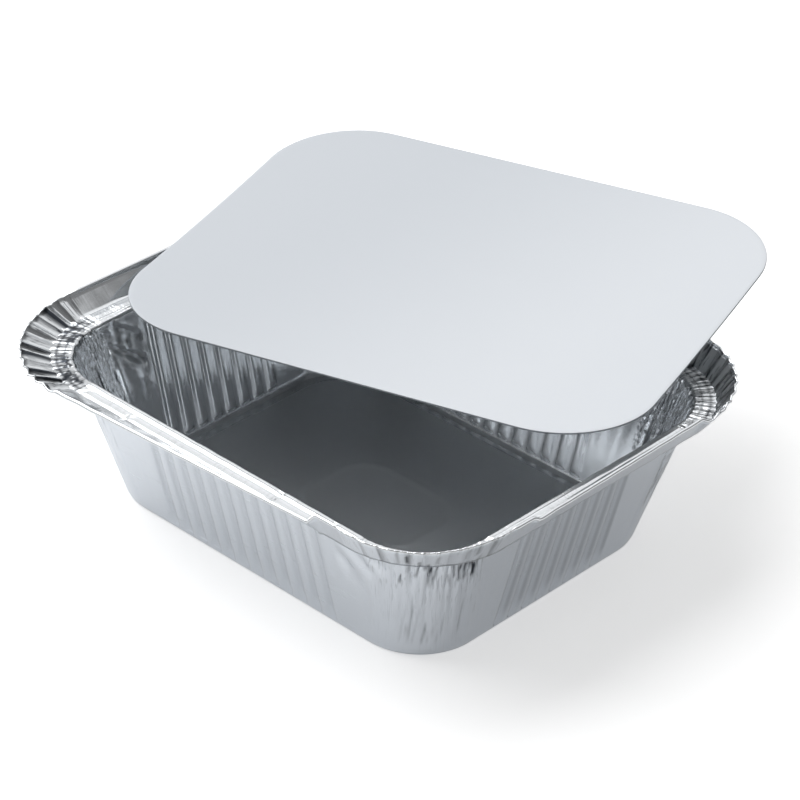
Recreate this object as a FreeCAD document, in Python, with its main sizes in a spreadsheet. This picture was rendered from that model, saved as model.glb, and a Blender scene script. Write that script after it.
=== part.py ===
import FreeCAD, Part
import Sketcher
import math
import os

from FreeCAD import Placement, Rotation, Vector

os.makedirs("parts", exist_ok=True)
doc = FreeCAD.newDocument("foil_food_container")

# Frame: +Z up, origin at the middle of the tray's flat underside, +X along the long side.
# The long front wall faces -Y. Sizes are millimetres and degrees.

# Driving sizes
SIZES = [
    ("floor_length", 112.2),
    ("floor_width", 87.2),
    ("floor_radius", 16.5),
    ("opening_length", 132.0),
    ("opening_width", 107.0),
    ("opening_radius", 19.5),
    ("wall_height", 39.0),
    ("foil", 0.3),
    ("base_bend", 2.0),
    ("ledge_width", 5.5),
    ("bead_inset", 1.5),
    ("bead_width", 0.8),
    ("bead_height", 0.3),
    ("rib_pitch", 5.0),
    ("rib_count_long", 12),
    ("rib_count_short", 8),
    ("rib_depth", 0.8),
    ("rib_mouth", 3.0),
    ("rib_crest", 2.2),
    ("rib_start", 3.0),
    ("rib_top_gap", 3.0),
    ("ring_length", 40.0),
    ("ring_width", 31.0),
    ("ring_radius", 11.0),
    ("ring_band", 4.0),
    ("ring_height", 0.3),
    ("lip_length", 7.4),
    ("lip_corner_length", 8.2),
    ("hem_size", 1.2),
    ("pleat_count", 10),
    ("pleat_depth", 0.45),
    ("lip_angle_corner_front_left", 22.0),
    ("lip_angle_front_start", 23.0),
    ("lip_angle_front_end", 48.0),
    ("lip_angle_corner_front_right", 61.0),
    ("lip_angle_right_start", 59.0),
    ("lip_angle_right_end", 65.0),
    ("lip_angle_corner_back_right", 57.0),
    ("lip_angle_back_start", 87.0),
    ("lip_angle_back_end", 72.0),
    ("lip_angle_corner_back_left", 58.0),
    ("lip_angle_left_start", 58.0),
    ("lip_angle_left_end", 42.0),
    ("lip_corner_fall", 5.0),
    ("lip_back_extra", 1.6),
    ("lid_thickness", 0.5),
    ("lid_clearance", 0.4),
    ("lid_radius", 24.8),
    ("lid_bow", 1.4),
    ("lid_shift_along", -12.9),
    ("lid_shift_across", 38.5),
    ("lid_turn", 16.6),
    ("lid_gap", 0.03),
]

sheet = doc.addObject("Spreadsheet::Sheet", "values")
for row, (name, number) in enumerate(SIZES, start=1):
    sheet.set("A%d" % row, name)
    sheet.set("B%d" % row, str(number))
    sheet.setAlias("B%d" % row, name)
doc.recompute()


def size(name):
    return float(sheet.get(name))


def plane(body, role):
    return [part for part in body.Origin.OriginFeatures if part.Role == role][0]


def new_sketch(body, name, height="0"):
    sketch = body.newObject("Sketcher::SketchObject", name)
    sketch.AttachmentSupport = [(plane(body, "XY_Plane"), "")]
    sketch.MapMode = "FlatFace"
    sketch.setExpression("AttachmentOffset.Base.z", height)
    return sketch


def add_rounded_loop(sketch, tag, length, width, radius, start):
    # A rounded rectangle centred on the origin; start holds rough numbers for the solver
    half_x, half_y, round_r = start[0] / 2, start[1] / 2, start[2]
    first = sketch.GeometryCount
    line = [
        ((-half_x + round_r, -half_y), (half_x - round_r, -half_y)),
        ((half_x, -half_y + round_r), (half_x, half_y - round_r)),
        ((half_x - round_r, half_y), (-half_x + round_r, half_y)),
        ((-half_x, half_y - round_r), (-half_x, -half_y + round_r)),
    ]
    for tail, head in line:
        sketch.addGeometry(Part.LineSegment(Vector(*tail, 0), Vector(*head, 0)), False)
    middle = [(1, -1, 270), (1, 1, 0), (-1, 1, 90), (-1, -1, 180)]
    for side_x, side_y, turn in middle:
        centre = Vector(side_x * (half_x - round_r), side_y * (half_y - round_r), 0)
        circle = Part.Circle(centre, Vector(0, 0, 1), round_r)
        arc = Part.ArcOfCircle(circle, math.radians(turn), math.radians(turn + 90))
        sketch.addGeometry(arc, False)
    for k in range(4):
        sketch.addConstraint(Sketcher.Constraint("Tangent", first + k, 2, first + 4 + k, 1))
        sketch.addConstraint(Sketcher.Constraint("Tangent", first + 4 + k, 2, first + (k + 1) % 4, 1))
    for k in range(3):
        sketch.addConstraint(Sketcher.Constraint("Equal", first + 4, first + 5 + k))
    sketch.addConstraint(Sketcher.Constraint("Horizontal", first))
    sketch.addConstraint(Sketcher.Constraint("Horizontal", first + 2))
    sketch.addConstraint(Sketcher.Constraint("Vertical", first + 1))
    sketch.addConstraint(Sketcher.Constraint("Vertical", first + 3))
    sketch.addConstraint(Sketcher.Constraint("Symmetric", first, 1, first + 2, 1, -1, 1))
    bound = [
        ("Radius", (first + 4,), round_r, "radius", radius),
        ("DistanceX", (first + 3, 1, first + 1, 1), 2 * half_x, "length", length),
        ("DistanceY", (first, 1, first + 2, 1), 2 * half_y, "width", width),
    ]
    for kind, places, number, word, rule in bound:
        index = sketch.addConstraint(Sketcher.Constraint(kind, *places, number))
        sketch.renameConstraint(index, tag + "_" + word)
        sketch.setExpression("Constraints." + tag + "_" + word, rule)


def add_trapezoid(sketch, side, near, far, near_half, far_half, middle):
    # Four corners of a rib's section: across the wall by half widths, into the wall by depths
    across, inward = (0, 1) if side in ("front", "back") else (1, 0)
    flip = 1 if side in ("front", "left") else -1
    corners = [(near, near_half, -1), (near, near_half, 1), (far, far_half, 1), (far, far_half, -1)]
    points = []
    for depth, half, way in corners:
        point = [0.0, 0.0, 0.0]
        point[across] = middle[1] + way * half[1]
        point[inward] = flip * depth[1]
        points.append(Vector(*point))
    for k in range(4):
        sketch.addGeometry(Part.LineSegment(points[k], points[(k + 1) % 4]), False)
    for k in range(4):
        sketch.addConstraint(Sketcher.Constraint("Coincident", k, 2, (k + 1) % 4, 1))
    for k, (depth, half, way) in enumerate(corners):
        rules = {across: "(%s) + (%d) * (%s)" % (middle[0], way, half[0])}
        rules[inward] = "(%d) * (%s)" % (flip, depth[0])
        for axis in (0, 1):
            kind = "DistanceX" if axis == 0 else "DistanceY"
            number, rule = points[k][axis], rules[axis]
            places = (-1, 1, k, 1) if number >= 0 else (k, 1, -1, 1)
            if number < 0:
                number, rule = -number, "-(%s)" % rule
            index = sketch.addConstraint(Sketcher.Constraint(kind, *places, number))
            word = "corner%d_%s" % (k, "xy"[axis])
            sketch.renameConstraint(index, word)
            sketch.setExpression("Constraints." + word, rule)


def lofted(body, kind, name, sketches):
    loft = body.newObject(kind, name)
    loft.Profile = sketches[0]
    loft.Sections = sketches[1:]
    loft.Ruled = True
    return loft


LEAN = "atan((values.opening_length / 2 + values.foil - values.floor_length / 2) / values.wall_height)"
LEAN_ACROSS = "atan((values.opening_width / 2 + values.foil - values.floor_width / 2) / values.wall_height)"


# Ribs pressed into one wall: a ridge inside the tub and a matching groove outside
def add_ribs(body, side):
    long_side = side in ("front", "back")
    count = "values.rib_count_long" if long_side else "values.rib_count_short"
    lean = LEAN_ACROSS if long_side else LEAN
    reach = "values.floor_width / 2" if long_side else "values.floor_length / 2"
    count_now = size("rib_count_long" if long_side else "rib_count_short")
    middle = ("-values.rib_pitch * (%s - 1) / 2" % count, -size("rib_pitch") * (count_now - 1) / 2)
    turn = {"front": (Vector(1, 0, 0), 1), "back": (Vector(1, 0, 0), -1),
            "left": (Vector(0, 1, 0), -1), "right": (Vector(0, 1, 0), 1)}[side]
    away = -1 if side in ("front", "left") else 1
    axis_word = "y" if long_side else "x"
    foil, depth = size("foil"), size("rib_depth")
    mouth, crest = size("rib_mouth") / 2, size("rib_crest") / 2
    slant = (mouth - crest) / depth
    slant_rule = "(values.rib_mouth - values.rib_crest) / 2 / values.rib_depth"
    span_rule = "(values.wall_height - values.rib_start - values.rib_top_gap) / cos(%s)" % lean
    features = []
    for word in ("ridge", "groove"):
        inset = "0" if word == "ridge" else "values.foil"
        level = "(values.rib_start + %s)" % inset
        sketch = body.newObject("Sketcher::SketchObject", side + "_" + word + "_sketch")
        sketch.AttachmentSupport = [(plane(body, "XY_Plane"), "")]
        sketch.MapMode = "FlatFace"
        sketch.AttachmentOffset = Placement(Vector(0, 0, 3), Rotation(turn[0], turn[1] * 15.0))
        sketch.setExpression("AttachmentOffset.Base.z", level)
        rule = "(%d) * (%s + %s * tan(%s))" % (away, reach, level, lean)
        sketch.setExpression("AttachmentOffset.Base." + axis_word, rule)
        if turn[1] > 0:
            sketch.setExpression("AttachmentOffset.Rotation.Angle", lean)
        else:
            sketch.setExpression("AttachmentOffset.Rotation.Angle", "-(%s)" % lean)
        if word == "ridge":
            near = ("values.foil / 2", foil / 2)
            far = ("values.foil + values.rib_depth", foil + depth)
            near_half = ("values.rib_mouth / 2 + values.foil * 0.7", mouth + foil * 0.7)
            far_half = ("values.rib_crest / 2 + values.foil * 0.7", crest + foil * 0.7)
            add_trapezoid(sketch, side, near, far, near_half, far_half, middle)
            feature = body.newObject("PartDesign::Pad", side + "_ridge")
            feature.Profile = sketch
            feature.setExpression("Length", span_rule)
        else:
            near = ("-1.0", -1.0)
            far = ("values.rib_depth", depth)
            near_half = ("values.rib_mouth / 2 + %s" % slant_rule, mouth + slant)
            far_half = ("values.rib_crest / 2", crest)
            add_trapezoid(sketch, side, near, far, near_half, far_half, middle)
            feature = body.newObject("PartDesign::Pocket", side + "_groove")
            feature.Profile = sketch
            feature.Reversed = True
            feature.setExpression("Length", "%s - 2 * values.foil / cos(%s)" % (span_rule, lean))
        features.append(feature)
    doc.recompute()
    pattern = body.newObject("PartDesign::LinearPattern", side + "_ribs")
    pattern.Originals = features
    pattern.Direction = (plane(body, "X_Axis" if long_side else "Y_Axis"), [""])
    pattern.setExpression("Length", "values.rib_pitch * (%s - 1)" % count)
    pattern.setExpression("Occurrences", count)
    body.Tip = pattern
    doc.recompute()
    return pattern


# One skin of the tub: level loops that follow the bend at the floor, then the slanting wall
def skin_loft(body, kind, name, inset, bend, now):
    floor_level = "(%s)" % inset
    run = "(%s) * tan((90 deg - %s) / 2)"
    sketches = []
    for share in (0.0, 1 / 3, 2 / 3, 1.0):
        sizes = []
        for word, lean in (("length", LEAN), ("width", LEAN_ACROSS)):
            half = "(values.floor_%s / 2 - %s + %s * tan(%s))" % (word, inset, inset, lean)
            swing = "(90 deg - %s) * %.4f" % (lean, share)
            sizes.append("2 * (%s - %s + (%s) * sin(%s))" % (half, run % (bend, lean), bend, swing))
        swing = "(90 deg - %s) * %.4f" % (LEAN, share)
        level = "%s + (%s) * (1 - cos(%s))" % (floor_level, bend, swing)
        radius = "values.floor_radius - %s - %s + (%s) * sin(%s)" % (inset, run % (bend, LEAN), bend, swing)
        sketch = new_sketch(body, "%s_loop%d" % (name, len(sketches)), level)
        add_rounded_loop(sketch, "loop", sizes[0], sizes[1], radius,
                         (now["floor_length"] - 2, now["floor_width"] - 2, now["floor_radius"] - 1))
        sketches.append(sketch)
    brim = new_sketch(body, name + "_brim", "values.wall_height")
    grow = "2 * (values.foil - %s)" % inset
    add_rounded_loop(brim, "brim", "values.opening_length + " + grow, "values.opening_width + " + grow,
                     "values.opening_radius + values.foil - %s" % inset,
                     (now["opening_length"], now["opening_width"], now["opening_radius"]))
    sketches.append(brim)
    doc.recompute()
    lofted(body, kind, name, sketches)
    doc.recompute()


# Tub: floor, slanting walls and flat ledge, hollowed to the foil's thickness
def make_tub():
    body = doc.addObject("PartDesign::Body", "tub")
    now = {name: size(name) for name, _ in SIZES}
    skin_loft(body, "PartDesign::AdditiveLoft", "outer_skin", "0", "values.base_bend + values.foil", now)
    ledge = new_sketch(body, "ledge_loop", "values.wall_height - values.foil")
    add_rounded_loop(ledge, "ledge", "values.opening_length + 2 * values.ledge_width",
                     "values.opening_width + 2 * values.ledge_width",
                     "values.opening_radius + values.ledge_width",
                     (now["opening_length"] + 11, now["opening_width"] + 11, now["opening_radius"] + 5))
    pad = body.newObject("PartDesign::Pad", "ledge")
    pad.Profile = ledge
    pad.setExpression("Length", "values.foil")
    doc.recompute()
    skin_loft(body, "PartDesign::SubtractiveLoft", "inner_skin", "values.foil", "values.base_bend", now)
    add_ledge_bead(body, now)
    add_floor_ring(body, now)
    for side in ("front", "back", "left", "right"):
        add_ribs(body, side)
    return body


# Ledge bead: a fine raised line that runs round the ledge near its inner edge
def add_ledge_bead(body, now):
    sketch = new_sketch(body, "bead_loops", "values.wall_height - values.foil / 2")
    loops = [
        ("outer", "(values.bead_inset + values.bead_width)", now["bead_inset"] + now["bead_width"]),
        ("inner", "values.bead_inset", now["bead_inset"]),
    ]
    for tag, rule, grow in loops:
        length_rule, width_rule = "values.opening_length + 2 * " + rule, "values.opening_width + 2 * " + rule
        add_rounded_loop(sketch, tag, length_rule, width_rule, "values.opening_radius + " + rule,
                         (now["opening_length"] + 2 * grow, now["opening_width"] + 2 * grow,
                          now["opening_radius"] + grow))
    bead = body.newObject("PartDesign::Pad", "ledge_bead")
    bead.Profile = sketch
    bead.setExpression("Length", "values.foil / 2 + values.bead_height")
    doc.recompute()


# Floor ring: a low embossed band, raised inside and hollow below
def add_floor_ring(body, now):
    shape = (now["ring_length"], now["ring_width"], now["ring_radius"])
    steps = [("band", "PartDesign::Pad", "values.foil / 2"), ("dent", "PartDesign::Pocket", "0")]
    for word, kind, level in steps:
        trim = "values.foil" if word == "dent" else "0"
        sketch = new_sketch(body, "ring_" + word + "_loops", level)
        add_rounded_loop(sketch, "far", "values.ring_length - 2 * " + trim, "values.ring_width - 2 * " + trim,
                         "values.ring_radius - " + trim, shape)
        gap = "(values.ring_band - %s)" % trim
        near = tuple(number - 2 * now["ring_band"] for number in shape[:2])
        add_rounded_loop(sketch, "near", "values.ring_length - 2 * " + gap, "values.ring_width - 2 * " + gap,
                         "values.ring_radius - " + gap, near + (shape[2] - now["ring_band"],))
        feature = body.newObject(kind, "ring_" + word)
        feature.Profile = sketch
        if word == "band":
            feature.setExpression("Length", "values.foil / 2 + values.ring_height")
        else:
            feature.Reversed = True
            feature.setExpression("Length", "values.ring_height")
        doc.recompute()


# Rim: the ledge's outer edge turned up as a lip with a rolled hem, pleated round the corners
def rim_stations():
    # Each station: root point, outward direction, lip angle, lip length, pleat direction
    half_x = size("opening_length") / 2 + size("ledge_width")
    half_y = size("opening_width") / 2 + size("ledge_width")
    bend = size("opening_radius") + size("ledge_width")
    count = int(size("pleat_count"))
    plain, longer = size("lip_length"), size("lip_corner_length")
    corners = [
        ("corner_front_left", -1, -1, 180.0, "left_end", "front_start", 0.0, 0.0),
        ("corner_front_right", 1, -1, 270.0, "front_end", "right_start", 7.0, 6.5),
        ("corner_back_right", 1, 1, 0.0, "right_end", "back_start", 0.0, 0.0),
        ("corner_back_left", -1, 1, 90.0, "back_end", "left_start", 0.0, 0.0),
    ]
    stations = []
    for spot, corner in enumerate(corners):
        name, side_x, side_y, turn, before, after, reach_in, reach_out = corner
        middle = Vector(side_x * (half_x - bend), side_y * (half_y - bend), 0)
        peak = size("lip_angle_" + name)
        angle_in, angle_out = size("lip_angle_" + before), size("lip_angle_" + after)
        total = 2 * count
        start_way = Vector(math.cos(math.radians(turn)), math.sin(math.radians(turn)), 0)
        end_way = Vector(math.cos(math.radians(turn + 90)), math.sin(math.radians(turn + 90)), 0)
        start_along = Vector(-start_way.y, start_way.x, 0)
        end_along = Vector(-end_way.y, end_way.x, 0)
        root_in = middle + start_way * bend - start_along * (reach_in + 1.2)
        stations.append((root_in, start_way, angle_in, plain, 0.0))
        for k in range(total + 1):
            part = k / total
            heading = math.radians(turn + 0.8 + 88.4 * part)
            way = Vector(math.cos(heading), math.sin(heading), 0)
            root = middle + way * bend
            edge = angle_in if part < 0.5 else angle_out
            if after == "back_start":
                edge = peak - size("lip_corner_fall")
            blend = min(1.0, 4.0 * min(part, 1 - part) + 0.25)
            if (reach_in if part < 0.5 else reach_out) > 0:
                blend = 1.0
            angle = edge + (peak - edge) * blend
            wave = 0.0 if k in (0, total) else (-1 if k % 2 else 1)
            stations.append((root, way, angle, plain + (longer - plain) * blend, wave))
        root_out = middle + end_way * bend + end_along * (reach_out + 1.2)
        extra = size("lip_back_extra") if after == "back_start" else 0.0
        stations.append((root_out, end_way, angle_out, plain + extra, 0.0))
        next_corner = corners[(spot + 1) % 4]
        next_in = size("lip_angle_" + next_corner[4])
        side_length = 2 * ((half_x if side_x * side_y > 0 and turn in (180.0, 0.0) else half_y) - bend)
        free = side_length - reach_out - 1.2 - next_corner[6] - 1.2
        for share in (0.25, 0.5, 0.75):
            root = root_out + end_along * (free * share)
            reach = plain + extra * (1 - share)
            stations.append((root, end_way, angle_out + (next_in - angle_out) * share, reach, 0.0))
    return stations


def rim_section(station):
    # Closed section from the root inside the ledge, up the lip's inner side, over the hem and back
    root, way, angle, length, wave = station
    foil, hem = size("foil"), size("hem_size")
    level = size("wall_height") - foil / 2
    tilt = math.radians(angle)
    up = way * math.cos(tilt) + Vector(0, 0, math.sin(tilt))
    face = way * -math.sin(tilt) + Vector(0, 0, math.cos(tilt))
    start = root + Vector(0, 0, level)
    fold = face * (wave * size("pleat_depth"))
    thin = foil * 0.3
    tip = start + up * (length - hem / 2) + fold * 0.6
    mid = start + up * (length * 0.5) + fold
    foot = start + up * 0.3
    back = start - way * 0.5
    half = foil / 2
    return [
        back + Vector(0, 0, thin),
        foot + face * thin,
        mid + face * half,
        tip - up * (hem * 0.5) + face * half,
        tip - up * (hem * 0.2) + face * (hem * 0.45),
        tip + up * (hem * 0.3) + face * (hem * 0.4),
        tip + up * (hem * 0.4) - face * (hem * 0.4),
        tip - up * (hem * 0.5) - face * half,
        mid - face * half,
        foot - face * thin,
        back - Vector(0, 0, thin),
    ]


def make_rim():
    rings = [rim_section(station) for station in rim_stations()]
    faces = []
    for k in range(len(rings)):
        near, far = rings[k], rings[(k + 1) % len(rings)]
        for n in range(len(near)):
            nxt = (n + 1) % len(near)
            for corner in ((near[n], far[n], far[nxt]), (near[n], far[nxt], near[nxt])):
                faces.append(Part.Face(Part.makePolygon(list(corner) + [corner[0]])))
    solid = Part.Solid(Part.makeShell(faces))
    if solid.Volume < 0:
        solid.reverse()
    rim = doc.addObject("Part::Feature", "rim")
    rim.Shape = solid
    return rim


# Hem: closely spaced points along the rim's highest edge
def hem_points():
    rings = [rim_section(station) for station in rim_stations()]
    points = []
    for k in range(len(rings)):
        near, far = rings[k], rings[(k + 1) % len(rings)]
        for n in (3, 4, 5, 6):
            steps = max(1, int((far[n] - near[n]).Length / 0.4))
            points.extend(near[n] + (far[n] - near[n]) * (part / steps) for part in range(steps))
    return points


def rest_plane(points, centre):
    # The lowest plane over all the points, measured at the centre: height there and its two slopes
    spots = [(p.x - centre.x, p.y - centre.y, p.z) for p in points]

    def narrow(height_for):
        low, high = -0.15, 0.15
        for _ in range(34):
            first, second = low + (high - low) * 0.4, low + (high - low) * 0.6
            if height_for(first) < height_for(second):
                high = second
            else:
                low = first
        return (low + high) / 2

    def across_for(along):
        return narrow(lambda across: max(z - along * x - across * y for x, y, z in spots))

    def height_for(along):
        across = across_for(along)
        return max(z - along * x - across * y for x, y, z in spots)

    along = narrow(height_for)
    return height_for(along), along, across_for(along)


# The lid's board before its corners are cut: a band between two arcs about one far centre
def add_bowed_slab(body, bow_rule, bow, seat, width):
    sketch = body.newObject("Sketcher::SketchObject", "bow_section")
    sketch.AttachmentSupport = [(plane(body, "YZ_Plane"), "")]
    sketch.MapMode = "FlatFace"
    sketch.setExpression("AttachmentOffset.Base.z", "-(%s / 2 + 1)" % (seat % "length"))
    thick, half = size("lid_thickness"), width / 2 + 1
    for radius in (bow, bow - thick):
        swing = math.asin(half / radius)
        circle = Part.Circle(Vector(0, bow, 0), Vector(0, 0, 1), radius)
        sketch.addGeometry(Part.ArcOfCircle(circle, 1.5 * math.pi - swing, 1.5 * math.pi + swing), False)
    low = [bow - math.sqrt(radius ** 2 - half ** 2) for radius in (bow, bow - thick)]
    sketch.addGeometry(Part.LineSegment(Vector(half, low[0], 0), Vector(half, low[1], 0)), False)
    sketch.addGeometry(Part.LineSegment(Vector(-half, low[0], 0), Vector(-half, low[1], 0)), False)
    for places in ((0, 3, 1, 3), (0, 2, 2, 1), (1, 2, 2, 2), (0, 1, 3, 1), (1, 1, 3, 2)):
        sketch.addConstraint(Sketcher.Constraint("Coincident", *places))
    sketch.addConstraint(Sketcher.Constraint("PointOnObject", 0, 3, -2))
    sketch.addConstraint(Sketcher.Constraint("Vertical", 2))
    sketch.addConstraint(Sketcher.Constraint("Vertical", 3))
    bound = [
        ("DistanceY", (-1, 1, 0, 3), bow, "centre", bow_rule),
        ("Radius", (0,), bow, "under", bow_rule),
        ("Radius", (1,), bow - thick, "over", bow_rule + " - values.lid_thickness"),
        ("DistanceX", (-1, 1, 2, 1), half, "right", seat % "width" + " / 2 + 1"),
        ("DistanceX", (3, 1, -1, 1), half, "left", seat % "width" + " / 2 + 1"),
    ]
    for kind, places, number, word, rule in bound:
        index = sketch.addConstraint(Sketcher.Constraint(kind, *places, number))
        sketch.renameConstraint(index, word)
        sketch.setExpression("Constraints." + word, rule)
    slab = body.newObject("PartDesign::Pad", "bowed_slab")
    slab.Profile = sketch
    slab.setExpression("Length", "%s + 2" % (seat % "length"))
    doc.recompute()


# Lid: one board with rounded corners, bowed a little, turned, pushed back and lying on the raised rim
def make_lid():
    body = doc.addObject("PartDesign::Body", "lid")
    seat = "(values.opening_%s + 2 * values.ledge_width - 2 * values.lid_clearance)"
    length = size("opening_length") + 2 * size("ledge_width") - 2 * size("lid_clearance")
    width = size("opening_width") + 2 * size("ledge_width") - 2 * size("lid_clearance")
    bow_rule = "((%s / 2) ^ 2 / (2 * values.lid_bow) + values.lid_bow / 2)" % (seat % "width")
    bow = (width / 2) ** 2 / (2 * size("lid_bow")) + size("lid_bow") / 2
    add_bowed_slab(body, bow_rule, bow, seat, width)
    trim = new_sketch(body, "lid_trim", "-1")
    add_rounded_loop(trim, "lid", seat % "length", seat % "width", "values.lid_radius",
                     (length, width, size("lid_radius")))
    add_rounded_loop(trim, "waste", seat % "length" + " + 12", seat % "width" + " + 12", "values.lid_radius / 6",
                     (length + 12, width + 12, size("lid_radius") / 6))
    cut = body.newObject("PartDesign::Pocket", "rounded_corners")
    cut.Profile = trim
    cut.Reversed = True
    cut.setExpression("Length", "values.lid_bow * 2 + values.lid_thickness + 4")
    doc.recompute()
    shift = Vector(size("lid_shift_along"), size("lid_shift_across"), 0)
    spin = Rotation(Vector(0, 0, 1), size("lid_turn"))
    under = []
    for point in hem_points():
        local = spin.inverted().multVec(Vector(point.x, point.y, 0) - shift)
        over_x = max(0.0, abs(local.x) - length / 2 + size("lid_radius"))
        over_y = max(0.0, abs(local.y) - width / 2 + size("lid_radius"))
        if math.hypot(over_x, over_y) < size("lid_radius") + 0.5:
            rise = bow - math.sqrt(bow ** 2 - local.y ** 2)
            under.append(point - Vector(0, 0, rise))
    level, rise_x, rise_y = rest_plane(under, shift)
    normal = Vector(-rise_x, -rise_y, 1).normalize()
    turn = Rotation(Vector(0, 0, 1), normal).multiply(spin)
    body.Placement = Placement(shift + Vector(0, 0, level + size("lid_gap")), turn)
    doc.recompute()
    slopes = [round(math.degrees(math.atan(v)), 2) for v in (rise_x, rise_y)]
    print("lid underside at its middle", round(level, 3), "slopes", slopes)
    touching = []
    for p in under:
        gap = level - p.z + rise_x * (p.x - shift.x) + rise_y * (p.y - shift.y)
        if gap < 0.05 and all((p - q).Length > 6 for q in touching):
            touching.append(p)
    print("lid meets the rim near", [(round(p.x, 1), round(p.y, 1), round(p.z, 2)) for p in touching])
    return body


tub = make_tub()
print("tub", tub.Shape.isValid(), len(tub.Shape.Solids), round(tub.Shape.Volume, 1))
rim = make_rim()
print("rim", rim.Shape.isValid(), len(rim.Shape.Solids), round(rim.Shape.Volume, 1))
tray = doc.addObject("Part::MultiFuse", "tray")
tray.Shapes = [tub, rim]
doc.recompute()
print("tray", tray.Shape.isValid(), len(tray.Shape.Solids), round(tray.Shape.Volume, 1))
lid = make_lid()
tray.Label = "tray"
lid.Label = "lid"
doc.recompute()

# Every object must be sound before anything is written
for item in doc.Objects:
    if "Invalid" in item.State or "Error" in item.State:
        raise RuntimeError("object failed: " + item.Name)
for piece in (tray, lid):
    if piece.Shape.isNull() or not piece.Shape.isValid() or len(piece.Shape.Solids) != 1:
        raise RuntimeError("unsound shape: " + piece.Label)
for piece in (tray, lid):
    piece.Shape.exportStep("parts/%s.step" % piece.Label)
    box = piece.Shape.BoundBox
    print(piece.Label, [round(v, 2) for v in (box.XMin, box.YMin, box.ZMin, box.XMax, box.YMax, box.ZMax)])
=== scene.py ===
import math

import bpy
import numpy as np
from mathutils import Matrix, Vector


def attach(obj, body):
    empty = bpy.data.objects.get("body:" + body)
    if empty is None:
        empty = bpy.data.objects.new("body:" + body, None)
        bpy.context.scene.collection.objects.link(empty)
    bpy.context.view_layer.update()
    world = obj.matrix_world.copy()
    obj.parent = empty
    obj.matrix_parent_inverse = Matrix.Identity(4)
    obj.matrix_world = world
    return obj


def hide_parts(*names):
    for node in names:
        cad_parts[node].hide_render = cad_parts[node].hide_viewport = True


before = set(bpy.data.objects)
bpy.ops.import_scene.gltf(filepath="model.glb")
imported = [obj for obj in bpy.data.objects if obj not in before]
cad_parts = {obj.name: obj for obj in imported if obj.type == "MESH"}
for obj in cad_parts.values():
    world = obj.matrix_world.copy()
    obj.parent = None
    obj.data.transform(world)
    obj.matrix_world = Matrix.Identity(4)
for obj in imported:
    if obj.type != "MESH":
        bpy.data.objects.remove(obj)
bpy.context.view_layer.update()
scene = bpy.context.scene
mm = 0.001         # the shapes are worked out in millimetres and written in metres
decimetre = 100.0  # in millimetres, the unit of the foil sheet's UV map

# Which way each corner lies, from the front left one on, in the order that the outlines run
cornerSigns = ((-1, -1), (1, -1), (1, 1), (-1, 1))


# Small helpers

def toLinear(hexColour):
    # sRGB hex to the linear colour that Blender's sockets take, by the sRGB curve
    parts = np.array([int(hexColour[k:k + 2], 16) for k in (1, 3, 5)]) / 255
    linear = np.where(parts <= 0.04045, parts / 12.92, ((parts + 0.055) / 1.055) ** 2.4)
    return (*[float(v) for v in linear], 1.0)


def addNode(tree, kind, values=None, links=None, **settings):
    node = tree.nodes.new(kind)
    for key, value in settings.items():
        setattr(node, key, value)
    for key, value in (values or {}).items():
        node.inputs[key].default_value = value
    for key, source in (links or {}).items():
        tree.links.new(source, node.inputs[key])
    return node


def newMaterial(name):
    material = bpy.data.materials.new(name)
    material.use_nodes = True
    material.node_tree.nodes.clear()
    return material, material.node_tree


def ease(x):
    # smooth step: 0 below 0, 1 above 1, level at both ends
    x = np.clip(x, 0, 1)
    return x * x * (3 - 2 * x)


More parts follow.
